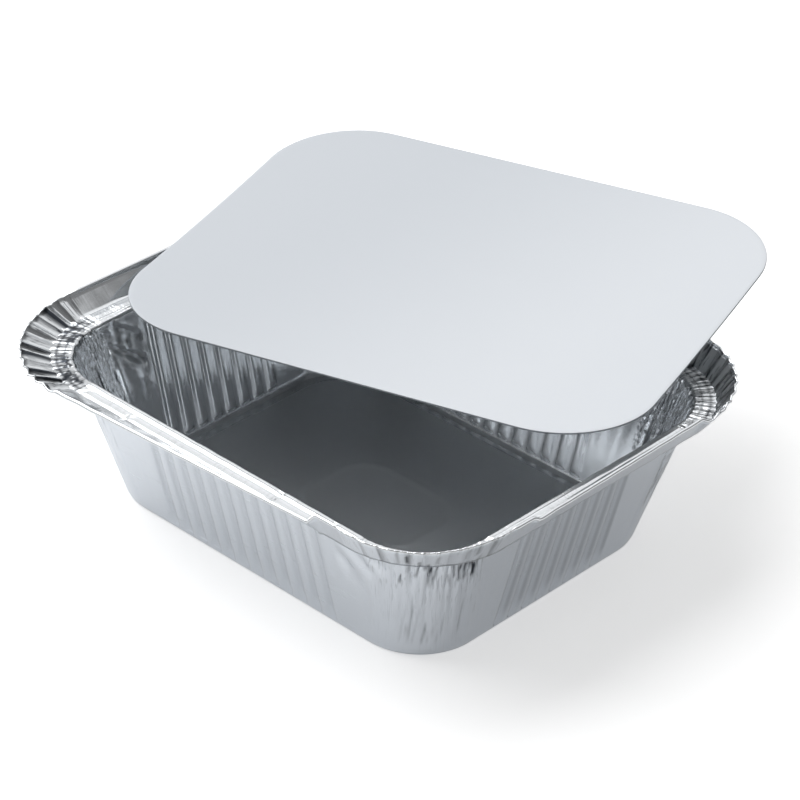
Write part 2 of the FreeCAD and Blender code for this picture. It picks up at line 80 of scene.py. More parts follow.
def gridObject(name, points, slots, closeEnd=False, rowSlot=None, values=None, sheetPlace=None):
    # points is rows x columns x 3 in millimetres, closed round the columns; rows run so that the
    # row direction crossed with the column direction faces out. The first row, and the last one
    # where closeEnd is set, is closed by a fan to one pole, the mean of the row.
    rows, columns = points.shape[:2]
    flat = points.reshape(-1, 3)
    index = np.arange(rows * columns).reshape(rows, columns)
    after = np.roll(index, -1, axis=1)
    quads = np.stack([index[:-1], index[1:], after[1:], after[:-1]], axis=-1).reshape(-1, 4)
    slotOf = np.zeros(len(quads), int) if rowSlot is None else np.repeat(rowSlot, columns)
    faces = [quads.ravel()]
    sizes = [np.full(len(quads), 4)]
    slotList = [slotOf]
    poles = []
    for row in (0, -1) if closeEnd else (0,):
        pole = np.full(columns, len(flat) + len(poles))
        poles.append(points[row].mean(axis=0))
        fan = (pole, index[0], after[0]) if row == 0 else (index[-1], pole, after[-1])
        faces.append(np.stack(fan, axis=-1).ravel())
        sizes.append(np.full(columns, 3))
        slotList.append(np.full(columns, slotOf[row]))
    flat = np.vstack([flat, poles])
    loops = np.concatenate(faces).astype(np.int32)
    counts = np.concatenate(sizes).astype(np.int32)
    starts = np.concatenate([[0], np.cumsum(counts)[:-1]]).astype(np.int32)
    mesh = bpy.data.meshes.new(name)
    mesh.vertices.add(len(flat))
    mesh.vertices.foreach_set("co", (flat * mm).astype(np.float32).ravel())
    mesh.loops.add(len(loops))
    mesh.loops.foreach_set("vertex_index", loops)
    mesh.polygons.add(len(counts))
    mesh.polygons.foreach_set("loop_start", starts)
    mesh.polygons.foreach_set("use_smooth", np.ones(len(counts), bool))
    for material in slots:
        mesh.materials.append(material)
    mesh.polygons.foreach_set("material_index", np.concatenate(slotList).astype(np.int32))
    for key, field in (values or {}).items():
        # one value a point, and the first row's mean for the poles
        attribute = mesh.attributes.new(key, "FLOAT", "POINT")
        packed = np.concatenate([field.ravel(), np.full(len(flat) - field.size, field[0].mean())])
        attribute.data.foreach_set("value", packed.astype(np.float32))
    if sheetPlace:
        # UV map of the foil: a round the rim and b up the profile, unbroken but for one seam
        a, b, around = sheetPlace
        nextA = np.roll(a, -1, axis=1)
        nextA = np.where(nextA < a - around / 2, nextA + around, nextA)
        cornersA = np.stack([a[:-1], a[1:], nextA[1:], nextA[:-1]], axis=-1)
        cornersB = np.stack([b[:-1], b[1:], b[1:], b[:-1]], axis=-1)
        pairs = np.stack([cornersA, cornersB], axis=-1).reshape(-1, 2) / decimetre
        pairs = np.vstack([pairs, np.zeros((len(loops) - len(pairs), 2))])
        mesh.uv_layers.new(name="sheet").data.foreach_set("uv", pairs.astype(np.float32).ravel())
    mesh.update(calc_edges=True)
    mesh.validate()
    piece = bpy.data.objects.new(name, mesh)
    scene.collection.objects.link(piece)
    return piece


# Tray: one sheet of aluminium foil, pressed. Lengths are in millimetres. Values in fours belong to
# the corners: front left, front right, back right, back left.

tray = {
    # floor, opening and sheet; half sizes are along X and Y
    "floorHalf": (56.1, 43.6), "floorRadius": 16.5,
    "openingHalf": (66.0, 53.5), "openingRadius": 19.5,
    "wallHeight": 39.0, "foil": 0.24, "baseBend": 2.0, "ledgeWidth": 5.5,
    # ribs: footFlare is the share by which a rib widens at its foot, gone at flareTop; edgeColumns
    # is how far the mesh's columns lie outside and inside a rib's edge
    "ribPitch": 5.0, "ribsLong": 12, "ribsShort": 8, "ribDepth": 0.8, "ribMouth": 3.0, "ribCrest": 2.2,
    "ribFoot": 0.4, "footRamp": 3.0, "ribTop": 36.0, "topRamp": 1.2, "footFlare": 0.3, "flareTop": 5.0,
    "edgeColumns": (0.12, 0.05), "ribGap": 0.2, "pastRibs": 1.0,
    # column spacing before and after the ribs: front, right, back, left
    "spacing": ((0.55, 0.55), (0.6, 0.6), (1.2, 1.2), (1.2, 0.6)),
    # raised ring in the floor, the floor's slight waviness, and its sheet places b as (start, run)
    "ringSpine": (9.0, 4.5), "ringInner": 7.0, "ringOuter": 11.0, "ringHeight": 0.3,
    "floorWave": 0.02, "floorWaveSize": (6.5, 8.0),
    "discSheet": (-40, 7), "ringSheet": (-33, 4), "floorSheet": (-29, 27),
    # ledge: beads as (distance from the wall, height), and what is left of them at the corners
    "beads": ((0.4, 0.24), (1.5, 0.42), (3.2, 0.3), (4.7, 0.26)), "beadWidth": 0.38, "cornerBead": 0.14,
    # hem: hemRoom is how many radii the hem takes off the lip's length
    "hemRadius": 0.42, "cornerHem": 0.18, "hemRoom": 1.45, "lipSheet": 7.6,
    # gathers at the corners: how many folds and mesh columns a fold, how deep in the lip, in the
    # ledge (pinch) and in the wall, and how ragged the lip's edge is
    "folds": (24, 16, 22, 14), "foldSteps": (4, 6, 4, 5), "foldDepth": (0.75, 0.16, 0.4, 0.4),
    "pinch": (0.07, 0.06, 0.14, 0.1), "wallFold": (0.14, 0.16, 0.26, 0.16), "jag": (0.3, 0.5, 0.3, 0.25),
    "foldShift": 0.3, "foldBack": 0.1, "foldLeast": 0.45, "ledgeWave": 0.11,
    "foldBody": ((0.0, 0.3, 0.6, 1.0), (0.45, 0.8, 1.0, 0.9)), "tornByFold": 0.4, "tornAtRandom": 0.6,
    # what the material is told: how gathered the foil is, and how much painted shade goes into its
    # closed folds (shut) and its crumpled corners; ledgeGather is the least and the share of gather added
    "gather": (0.35, 0.6, 1.0, 0.5), "shut": (1.9, 0.7, 0.7, 0.9), "crumpleShade": (0.2, 0.0, 0.0, 0.1),
    "floorGather": -2.8, "wallGather": 0.15, "wallGatherFrom": 6.0, "wallGatherRamp": 26.0,
    "ledgeGather": (0.2, 0.5), "lipGather": 0.12,
    "shutLeast": 0.2, "shutEnd": 0.1, "hemShut": 0.5, "pinchShut": 0.5, "pinchFrom": 0.5, "pinchRamp": 2.0,
    # painted shade: its share on the lip, on the front lip, on the flat ledge between the beads (gone at
    # beadFull), along two lines on the corners' ledge, in the ribs' hollows and on one flank, and in dents
    "lipShadeShare": 0.6, "frontLipShade": 0.14, "flatLedgeShade": 0.14, "beadFull": 0.4,
    "cornerLines": (1.9, 4.0), "lineWidth": 0.3, "lineShade": 0.45,
    "hollowHalf": 1.3, "hollowShade": 0.07, "flankPlace": 1.5, "flankHalf": 0.2, "flankShade": 0.3,
    "ribShadeFrom": 2.0, "ribShadeRamp": 6.0, "dentFrom": 0.2, "dentShade": 1.6,
    # crumples, as (facet width, facet height, how many waves are added up, greatest slant), and how
    # deep they are on plain walls with the corners' extra, on the ledge's corners and on the rim's sides
    "gatherWaves": (2.1, 26, 5, 1.2), "wallWaves": (4.6, 40, 3, 1.0),
    "ledgeWaves": (1.6, 9, 4, 1.5), "rimWaves": (7.0, 16, 3, 1.5),
    "wallCrumple": (0.05, 0.1), "ledgeCrumple": 0.05, "rimCrumple": 0.05,
    "waveStretch": (0.7, 1.5), "waveBend": 0.3,
    "marksFrom": 2.2, "foldsFrom": 10.0, "foldsRamp": 24.0, "crumpleRamp": 12.0,
    # strewn folds: shortest and weakest share, width range, and how far one may run past its patch
    "strewnLeast": 0.3, "strewnWidth": (0.4, 0.6), "strewnPast": 2.0,
    "seed": 11,
}

# Lip angle above horizontal and lip length along the rim, in degrees and millimetres. Zones run 0
# front left corner, 1 front side, 2 front right corner, 3 right side, 4 back right corner, 5 back,
# 6 back left corner, 7 left; the decimals are the share of the zone.
lipAngle = [
    (0.0, 37), (0.19, 22), (0.81, 22), (1.0, 23), (1.912, 49), (1.925, 66), (2.0, 65),
    (2.2, 59), (2.5, 57), (2.75, 62), (3.0, 66), (3.096, 64), (3.113, 59), (3.982, 65),
    (4.0, 53), (4.19, 57), (4.81, 57), (4.99, 53.5), (5.013, 87), (5.98, 72),
    (6.0, 68), (6.19, 58), (7.0, 58), (7.03, 58), (7.97, 42), (8.0, 37),
]
lipLength = [
    (0.0, 7.6), (0.19, 8.2), (0.81, 8.2), (1.0, 7.5), (1.02, 7.3), (1.912, 7.4), (1.925, 8.1),
    (3.096, 8.1), (3.113, 7.4), (3.97, 7.4), (4.0, 7.6), (4.19, 8.2), (4.81, 8.2), (4.99, 7.7),
    (5.013, 9.0), (5.98, 7.5), (6.0, 7.6), (6.19, 8.2), (6.81, 8.2), (7.0, 7.6), (7.03, 7.4), (8.0, 7.6),
]

# Marks of use and of the press, as (from, to, width, depth). Both ends are sheet places (a, b): how
# far round the opening from the front left corner's start, and how far up the wall, over the ledge
# and up the lip. A negative depth sinks away from the inside of the tray.
creases = [
    ((30.2, 52.5), (24.1, 39.5), 0.7, -0.35), ((32.2, 44.2), (33.9, 41.4), 0.6, -0.35),
    ((48.0, 45.6), (49.2, 41.0), 0.6, -0.35), ((98.1, 43.5), (98.1, 39.6), 0.6, -0.3),
    ((115.5, 46.0), (115.2, 39.6), 0.6, -0.35), ((26.5, 47.0), (36.0, 45.4), 0.7, -0.25),
    ((131.2, 36.0), (131.4, 23.0), 0.6, 0.45), ((133.6, 35.0), (133.3, 29.0), 0.5, 0.35),
    ((136.0, 35.5), (135.4, 27.0), 0.6, 0.4), ((138.2, 35.5), (137.2, 29.0), 0.5, 0.35),
    ((140.2, 36.0), (139.8, 24.0), 0.6, 0.35), ((142.6, 36.0), (141.6, 27.0), 0.5, 0.35),
    ((145.0, 35.5), (144.2, 25.5), 0.6, 0.4), ((147.2, 36.0), (147.6, 28.0), 0.5, 0.35),
    ((150.0, 35.5), (150.8, 22.5), 0.6, 0.4), ((134.8, 23.0), (131.2, 6.0), 0.7, 0.3),
    ((141.0, 24.0), (143.2, 8.0), 0.8, 0.25), ((146.6, 27.0), (148.6, 12.0), 0.8, 0.2),
]
dents = [
    ((-3.9, 36.6), (-11.8, 31.4), 1.5, -0.45), ((0.3, 36.0), (-6.9, 32.0), 1.3, -0.4),
    ((-6.9, 31.4), (-12.8, 28.8), 1.5, -0.3), ((-0.5, 32.6), (-11.8, 25.2), 1.7, -0.5),
    ((0.4, 24.4), (0.1, 23.6), 1.5, -0.45), ((-4.0, 26.0), (-12.5, 21.5), 2.0, 0.25),
    ((114.0, 27.0), (120.5, 22.0), 3.0, 0.6), ((117.0, 33.0), (124.5, 27.5), 2.8, 0.55),
    ((122.5, 35.5), (128.5, 30.5), 2.4, 0.5), ((152.5, 33.0), (157.0, 22.0), 2.6, 0.25),
]

# Short sharp folds strewn over patches of the walls, the ledge and the lip, as (a from, a to, b from,
# b to, how many, longest, lean, depth, darkness). A closed fold is too narrow for the mesh, so its
# shade is also painted into the foil's colour.
strewn = [
    (131.5, 152.5, 29.0, 38.6, 40, 5.5, 0.9, 0.22, 0.9), (133.0, 151.0, 8.0, 28.0, 12, 14.0, 2.5, 0.2, 0.4),
    (223.5, 252.0, 18.0, 38.0, 46, 9.0, 3.0, 0.2, 0.35), (4.0, 21.0, 16.0, 37.0, 34, 11.0, 1.5, 0.16, 0.5),
    (224.0, 252.0, 45.0, 51.5, 26, 5.0, 0.8, 0.1, 0.5), (133.0, 152.0, 45.0, 52.0, 9, 6.5, 0.3, 0.1, 0.7),
    (2.0, 29.0, 40.2, 44.2, 34, 1.4, 3.2, 0.05, 0.9), (2.0, 29.0, 40.2, 44.4, 20, 4.0, 0.8, 0.05, 0.9),
    (224.0, 252.0, 40.2, 44.2, 16, 1.2, 2.6, 0.08, 0.5),
]


def sidePlaces(half, ribs, before, after):
    # places along one straight side: a pair of columns at every rib edge, evenly spaced beyond
    pitch, mouth, crest = tray["ribPitch"], tray["ribMouth"] / 2, tray["ribCrest"] / 2
    outside, inside = tray["edgeColumns"]
    centres = (np.arange(ribs) - (ribs - 1) / 2) * pitch
    edges = np.array([-mouth - outside, -mouth + inside, -crest - inside, -crest + outside])
    near = (centres[:, None] + np.concatenate([edges, -edges[::-1]])[None, :]).ravel()
    start = ribs * pitch / 2 + tray["ribGap"]
    first = -np.linspace(start, half, int((half - start) / before) + 2)[:-1]
    last = np.linspace(start, half, int((half - start) / after) + 2)[:-1]
    return np.sort(np.concatenate([first, near, last]))


def loopColumns(random):
    # round the rim, for every column: spine point at ledge level, outward heading, zone and share of
    # the zone, the fold wave (straight runs between uneven peaks, alternately up and down), where
    # the ledge is pinched and which flank of a fold is shut, the place along a side, and the sheet
    # place a. A corner's columns have a place along the side that is far from any rib.
    offSide = 999
    spineX = tray["openingHalf"][0] - tray["openingRadius"]
    spineY = tray["openingHalf"][1] - tray["openingRadius"]
    arc = tray["openingRadius"] * math.pi / 2
    out = {key: [] for key in ("x", "y", "heading", "zone", "part", "wave", "pinch", "shut", "along", "a")}
    walked = 0.0
    for corner in range(4):
        folds, steps = tray["folds"][corner], tray["foldSteps"][corner]
        # every second knot is moved back, so that a fold has a short steep flank and a long flat one
        shift = random.uniform(-tray["foldShift"], tray["foldShift"], folds + 1)
        jitter = (shift - tray["foldBack"] * (np.arange(folds + 1) % 2)) / folds
        jitter[[0, -1]] = 0
        knots = np.linspace(0, 1, folds + 1) + jitter
        height = random.uniform(tray["foldLeast"], 1.0, folds + 1)
        height = height * np.where(np.arange(folds + 1) % 2, -1, 1)
        height[[0, -1]] = 0
        part = np.interp(np.linspace(0, folds, folds * steps + 1), np.arange(folds + 1), knots)
        pinch = np.tile([1.0] + [0.0] * (steps - 1), folds + 1)[:folds * steps + 1]
        # the flank after every second knot gets the painted shade of a closed fold, fading to the next knot
        strength = random.uniform(tray["shutLeast"], 1.0, folds + 1) * (height > 0)
        flank = np.linspace(1.0, tray["shutEnd"], steps)[None, :] * strength[:, None]
        shut = flank.ravel()[:folds * steps + 1]
        signX, signY = cornerSigns[corner]
        ones = np.ones(len(part))
        values = (ones * signX * spineX, ones * signY * spineY, np.radians(180 + 90 * corner + 90 * part),
                  ones * 2 * corner, part, np.interp(part, knots, height), pinch, shut, ones * offSide,
                  walked + arc * part)
        for key, value in zip(out, values):
            out[key].append(value)
        walked += arc
        isLong = corner % 2 == 0
        half = spineX if isLong else spineY
        ribs = tray["ribsLong"] if isLong else tray["ribsShort"]
        place = sidePlaces(half, ribs, *tray["spacing"][corner])
        moving = place * (1 if corner < 2 else -1)
        ones = np.ones(len(place))
        still = ones * (signY * spineY if isLong else cornerSigns[(corner + 1) % 4][0] * spineX)
        values = (moving if isLong else still, still if isLong else moving,
                  ones * math.radians(270 + 90 * corner), ones * (2 * corner + 1),
                  (place + half) / (2 * half), ones * 0, ones * 0, ones * 0, place, walked + half + place)
        for key, value in zip(out, values):
            out[key].append(value)
        walked += 2 * half
    out = {key: np.concatenate(value).astype(float) for key, value in out.items()}
    # the back left corner and the left side count backwards from the start, so that the marks on the
    # left corner need no break
    out["a"] = np.where(out["zone"] >= 6, out["a"] - walked, out["a"])
    return out, walked


def profileRows():
    # rows from the floor's middle to the hem, as (kind, value): a share of the way out for the disc
    # inside the ring, the ring, the floor beyond it and the bend; millimetres up the wall and out
    # over the ledge; a share of the way up the lip; degrees round the hem
    places = {
        "disc": (0.1, 1.0), "ring": (0.2, 0.4, 0.6, 0.8, 1.0), "floor": (0.45, 0.9),
        "bend": (0.0, 0.35, 0.7, 1.0),
        "wall": (*np.linspace(1.9, 4.2, 4), *np.linspace(6.5, 24, 6), *np.linspace(25.4, 38.3, 11)),
        "ledge": (0.08, 0.4, 0.8, 1.15, 1.5, 1.9, 2.4, 3.2, 4.0, 4.7, 5.2),
        "lip": (0.0, 0.14, 0.3, 0.47, 0.64, 0.82, 1.0), "hem": (-20, 35, 90, 145, 200, 255),
    }
    return [(kind, value) for kind, values in places.items() for value in values]


def spread(nominal, full, keep, half):
    # a place along a side at some level: unchanged near the ribs, and beyond them stretched in
    # proportion, so that the end of the full side falls on the end of this level's side
    size = np.abs(nominal)
    stretched = keep + (size - keep) * (half - keep) / (full - keep)
    return np.sign(nominal) * np.where(size <= keep, size, stretched)


def loopPoint(column, t):
    # horizontal point on the tub's outline, t = 0 at the floor and 1 at the opening:
    # spine point plus outward heading times the corner radius of that level
    full = [tray["openingHalf"][k] - tray["openingRadius"] for k in (0, 1)]
    low = [tray["floorHalf"][k] - tray["floorRadius"] for k in (0, 1)]
    half = [low[k] + t * (full[k] - low[k]) for k in (0, 1)]
    radius = tray["floorRadius"] + t * (tray["openingRadius"] - tray["floorRadius"])
    x = spread(column["x"], full[0], tray["ribPitch"] * tray["ribsLong"] / 2 + tray["pastRibs"], half[0])
    y = spread(column["y"], full[1], tray["ribPitch"] * tray["ribsShort"] / 2 + tray["pastRibs"], half[1])
    return x, y, radius


def ribOffset(column):
    # distance from the nearest rib's middle along a straight side, and whether ribs are there
    count = np.where(column["zone"] % 4 == 1, tray["ribsLong"], tray["ribsShort"])
    run = count * tray["ribPitch"] / 2
    offset = (column["along"] + run) % tray["ribPitch"] - tray["ribPitch"] / 2
    return offset, np.abs(column["along"]) < run


def belowRibTop(level):
    # 1 below the ribs' top ramp, falling smoothly to 0 at the ribs' top
    return 1 - ease((level - tray["ribTop"] + tray["topRamp"]) / tray["topRamp"])


def ribRise(column, level):
    # trapezoid across the rib, 0 between ribs and 1 on the crest, with a ramp at its foot and its top
    offset, inside = ribOffset(column)
    flank = tray["ribMouth"] - tray["ribCrest"]
    shape = np.clip((tray["ribMouth"] / 2 - np.abs(offset)) / flank * 2, 0, 1)
    window = ease((level - tray["ribFoot"]) / tray["footRamp"]) * belowRibTop(level)
    return np.where(inside, shape, 0) * window


def ribShade(column, level):
    # painted shade: the ribs' hollows are a little darker outside, and on the right side so is one flank
    # of each; it comes in smoothly above the foot and goes out with the rib
    offset, ribbed = ribOffset(column)
    hollow = ribbed & (np.abs(offset) < tray["hollowHalf"]) & (column["zone"] < 4)
    flank = (column["zone"] == 3) & ribbed & (np.abs(offset - tray["flankPlace"]) < tray["flankHalf"])
    shade = np.where(flank, tray["flankShade"], np.where(hollow, tray["hollowShade"], 0))
    return shade * ease((level - tray["ribShadeFrom"]) / tray["ribShadeRamp"]) * belowRibTop(level)


def marks(a, b, listed, soft):
    # sum of marks along short lines: the depth falls from the line to nothing at the width, straight
    # for a crease and smoothly for a dent
    total = np.zeros(a.shape)
    for (fromA, fromB), (toA, toB), width, depth in listed:
        runA, runB = toA - fromA, toB - fromB
        share = np.clip(((a - fromA) * runA + (b - fromB) * runB) / (runA ** 2 + runB ** 2), 0, 1)
        fall = 1 - np.hypot(a - fromA - share * runA, b - fromB - share * runB) / width
        total += depth * (ease(fall) if soft else np.clip(fall, 0, 1))
    return total


def crumple(a, b, random, sizeA, sizeB, count, lean):
    # gathered foil: straight-sided waves of several slants and phases added up and divided by the
    # root of their number, so that the sheet breaks into flat facets about sizeA wide and sizeB tall
    total = np.zeros(a.shape)
    for _ in range(count):
        slant = random.uniform(-lean, lean)
        stretch = random.uniform(*tray["waveStretch"])
        shift = random.uniform(0, 1)
        bend = tray["waveBend"] * np.sin(b / sizeB + random.uniform(0, 6))
        phase = a / (sizeA * stretch) + b / sizeB * slant + shift + bend
        total += 4 * np.abs(phase % 1 - 0.5) - 1
    return total / math.sqrt(count)


def strewnFolds(random):
    # one crease and one line of painted shade for every strewn fold, of random place, length, lean and
    # strength
    folds, shades = [], []
    least, past = tray["strewnLeast"], tray["strewnPast"]
    for fromA, toA, fromB, toB, count, longest, slant, depth, shade in strewn:
        for _ in range(count):
            startA, startB = random.uniform(fromA, toA), random.uniform(fromB, toB)
            run, strength = random.uniform(least, 1.0) * longest, random.uniform(least, 1.0)
            end = startA + random.uniform(-slant, slant), max(startB - run, fromB - past)
            width = random.uniform(*tray["strewnWidth"])
            folds.append(((startA, startB), end, width, depth * strength))
            shades.append(((startA, startB), end, width, shade * strength))
    return folds, shades


def buildTray(slots):
    random = np.random.default_rng(tray["seed"])
    column, walked = loopColumns(random)
    rows = profileRows()
    zoneShare = column["zone"] + column["part"]
    ones = np.ones(len(zoneShare))
    way = np.stack([np.cos(column["heading"]), np.sin(column["heading"]), zoneShare * 0], axis=-1)
    tangent = np.stack([-way[:, 1], way[:, 0], zoneShare * 0], axis=-1)
    upright = np.array([0, 0, 1.0])
    # the lip leans at its own angle: up runs along it and face stands square on its inner side
    angle = np.radians(np.interp(zoneShare, *zip(*lipAngle)))
    length = np.interp(zoneShare, *zip(*lipLength))
    up = way * np.cos(angle)[:, None] + upright * np.sin(angle)[:, None]
    face = -way * np.sin(angle)[:, None] + upright * np.cos(angle)[:, None]
    corner = (column["zone"] % 2 == 0).astype(float)
    foldDepth, wallFold, pinch, shut, gathered, jag, crumpleShade = (
        sum(np.where(column["zone"] == 2 * k, tray[name][k], 0) for k in range(4))
        for name in ("foldDepth", "wallFold", "pinch", "shut", "gather", "jag", "crumpleShade"))
    mid = tray["foil"] / 2
    wallHeight, ledge = tray["wallHeight"], tray["ledgeWidth"]
    hem = np.where(corner > 0, tray["cornerHem"], tray["hemRadius"])
    lean = math.atan2(tray["openingHalf"][0] - tray["floorHalf"][0], wallHeight)
    floorX, floorY, floorRadius = loopPoint(column, 0.0)
    openX, openY, openRadius = loopPoint(column, 1.0)
    ringX = column["x"] / (tray["openingHalf"][0] - tray["openingRadius"]) * tray["ringSpine"][0]
    ringY = column["y"] / (tray["openingHalf"][1] - tray["openingRadius"]) * tray["ringSpine"][1]
    inward = -way * math.cos(lean) + upright * math.sin(lean)
    offset, ribbed = ribOffset(column)
    # how far the lip's edge falls short of its length
    torn = (1 + column["wave"]) * tray["tornByFold"] + random.uniform(0, tray["tornAtRandom"], len(ones))
    points = np.zeros((len(rows), len(ones), 3))
    push = np.zeros(points.shape)        # which way a mark moves the sheet, for each place
    b = np.zeros(points.shape[:2])       # sheet place up the profile
    gather = np.zeros(points.shape[:2])  # for the material: how gathered the foil is; below 0 only rougher
    dark = np.zeros(points.shape[:2])    # for the material: painted shade that darkens the foil's colour
    for n, (kind, value) in enumerate(rows):
        push[n] = upright
        if kind in ("disc", "ring", "floor"):
            gather[n] = tray["floorGather"]
        if kind == "disc":
            # flat, scaled from the middle to the ring's inner outline
            place = np.stack([ringX * value, ringY * value, ones * mid], axis=-1)
            place += way * tray["ringInner"] * value
            b[n] = tray["discSheet"][0] + tray["discSheet"][1] * value
        elif kind == "ring":
            # one cosine hump from the ring's inner outline to its outer one
            out = tray["ringInner"] + value * (tray["ringOuter"] - tray["ringInner"])
            z = ones * (mid + tray["ringHeight"] * 0.5 * (1 - math.cos(2 * math.pi * value)))
            place = np.stack([ringX, ringY, z], axis=-1) + way * out
            b[n] = tray["ringSheet"][0] + tray["ringSheet"][1] * value
        elif kind == "floor":
            # flat, on straight lines from the ring to the start of the bend
            inner = np.stack([ringX, ringY, ones * mid], axis=-1) + way * tray["ringOuter"]
            outer = np.stack([floorX, floorY, ones * mid], axis=-1) + way * (floorRadius - tray["baseBend"])
            place = inner + (outer - inner) * value
            b[n] = tray["floorSheet"][0] + tray["floorSheet"][1] * value
        elif kind == "bend":
            # arc of the bend's radius, touching the floor and the slanting wall
            turn = value * (math.pi / 2 - lean)
            back = tray["baseBend"] * math.tan((math.pi / 2 - lean) / 2)
            reach = floorRadius - back + tray["baseBend"] * math.sin(turn)
            level = tray["baseBend"] * (1 - math.cos(turn))
            place = np.stack([floorX, floorY, ones * (mid + level)], axis=-1) + way * reach
            b[n] = level
        elif kind == "wall":
            # straight from the floor's outline to the opening's, with the ribs pressed inward
            x, y, radius = loopPoint(column, value / wallHeight)
            flare = np.where(ribbed, offset * tray["footFlare"] * max(0.0, 1 - value / tray["flareTop"]), 0)
            place = np.stack([x, y, ones * (mid + value)], axis=-1)
            place += way * radius + tangent * flare[:, None]
            place += inward * (ribRise(column, value) * tray["ribDepth"])[:, None]
            push[n] = inward
            b[n] = value
            dark[n] = ribShade(column, value)
            least, risen = tray["wallGather"], ease((value - tray["wallGatherFrom"]) / tray["wallGatherRamp"])
            gather[n] = corner * (least + (1 - least) * risen)
        elif kind == "ledge":
            # flat, with bell-shaped beads, low at the corners, where the folds come through from the
            # lip and pinch it; painted shade at the pinches, on crumpled corners, on the flat between the
            # beads, and along two lines at the corners
            bead = sum(height * math.exp(-((value - inset) / tray["beadWidth"]) ** 2)
                       for inset, height in tray["beads"])
            z = ones * (wallHeight - mid) + bead * np.where(corner > 0, tray["cornerBead"], 1.0)
            place = np.stack([openX, openY, z], axis=-1) + way * (openRadius + value)
            place[:, 2] += column["wave"] * foldDepth * tray["ledgeWave"] * value / ledge
            place[:, 2] -= column["pinch"] * pinch * ease(value)
            b[n] = wallHeight + value
            gather[n] = tray["ledgeGather"][0] + tray["ledgeGather"][1] * gathered
            pinched = ease((value - tray["pinchFrom"]) / tray["pinchRamp"])
            dark[n] = column["pinch"] * np.minimum(shut, 1) * tray["pinchShut"] * pinched + crumpleShade
            dark[n] += tray["flatLedgeShade"] * (1 - min(bead / tray["beadFull"], 1))
            dark[n] += corner * tray["lineShade"] * sum(
                math.exp(-((value - line) / tray["lineWidth"]) ** 2) for line in tray["cornerLines"])
        else:
            # straight up the lip from the ledge's edge, with the folds standing out of it, then a
            # circle round the hem
            root = np.stack([openX, openY, ones * (wallHeight - mid)], axis=-1) + way * (openRadius + ledge)
            share = value if kind == "lip" else 1.0
            fold = face * (column["wave"] * foldDepth * np.interp(share, *tray["foldBody"]))[:, None]
            reach = length - hem * tray["hemRoom"] - jag * torn
            if kind == "lip":
                place = root + up * ((reach - hem) * value)[:, None] + fold
            else:
                spin = math.radians(value)
                place = root + up * (reach + hem * math.sin(spin))[:, None] + fold
                place += face * (hem * math.cos(spin))[:, None]
            push[n] = face
            b[n] = wallHeight + ledge + share * tray["lipSheet"]
            gather[n] = tray["lipGather"] + (1 - tray["lipGather"]) * gathered
            # painted shade on the lip: the shut flanks of the folds, the crumpled corners and the front side
            dark[n] = column["shut"] * shut * (1.0 if kind == "lip" else tray["hemShut"])
            dark[n] += crumpleShade * tray["lipShadeShare"]
            dark[n] += np.where((column["zone"] == 1) & (kind == "lip"), tray["frontLipShade"], 0)
        points[n] = place
    a = np.broadcast_to(column["a"], b.shape)
    onWall = ((b > tray["marksFrom"]) & (b < wallHeight)).astype(float)
    onLedge = ((b >= wallHeight) & (b < wallHeight + ledge)).astype(float)
    onLip = (b >= wallHeight + ledge).astype(float)
    wallDepth = tray["wallCrumple"][0] + tray["wallCrumple"][1] * corner
    smooth = onWall * ~ribbed * ease(b / tray["crumpleRamp"])
    moved = crumple(a, b, random, *tray["gatherWaves"]) * wallFold * onWall
    moved *= ease((b - tray["foldsFrom"]) / tray["foldsRamp"])
    moved += crumple(a, b, random, *tray["wallWaves"]) * wallDepth * smooth
    moved += crumple(a, b, random, *tray["ledgeWaves"]) * tray["ledgeCrumple"] * corner * onLedge
    moved += crumple(a, b, random, *tray["rimWaves"]) * tray["rimCrumple"] * (1 - corner) * (onLedge + onLip)
    folds, shades = strewnFolds(random)
    sunk = marks(a, b, dents, True)
    moved += marks(a, b, creases + folds, False) * (onWall + onLedge + onLip)
    moved += sunk * onWall
    # painted shade along the strewn folds and in the deepest dents
    dark += marks(a, b, shades, False)
    dark += np.clip(-sunk - tray["dentFrom"], 0, 1) * tray["dentShade"] * onWall
    # the floor's waviness, a product of two sines, only ever lifts it
    sizeX, sizeY = tray["floorWaveSize"]
    waves = np.sin(points[:, :, 0] / sizeX) * np.sin(points[:, :, 1] / sizeY + 1)
    moved += np.where(b < 0, tray["floorWave"] * (1 + waves), 0)
    points += push * moved[:, :, None]
    piece = gridObject("foilTray", points, slots, values={"gather": gather, "dark": np.clip(dark, 0, 1)},
                       sheetPlace=(a, b, walked))
    # the grid is the sheet's middle, and the thickness goes half to either side; the far side of
    # the sheet, with its edge, takes the second slot
    skin = piece.modifiers.new("foilThickness", "SOLIDIFY")
    skin.thickness = tray["foil"] * mm
    skin.offset = 0
    skin.material_offset = 1
    skin.material_offset_rim = 1
    return piece


# Lid: one sheet of laminated board. Rows are runs of shares of the outline, as (from, to, how many).

lid = {
    "half": (71.09, 58.59), "radius": 24.8, "thickness": 0.5, "bow": 1.4, "edgeRound": 0.12,
    "shift": (-12.9, 38.5), "turn": 16.6, "level": 46.408, "slopes": (0.0117, 0.0297),
    "cornerColumns": 34, "sideColumns": 34, "edgeRows": 4,
    "topRows": ((0.02, 0.9, 22), (0.93, 0.985, 5)), "underRows": ((0.985, 0.9, 4), (0.8, 0.02, 12)),
}


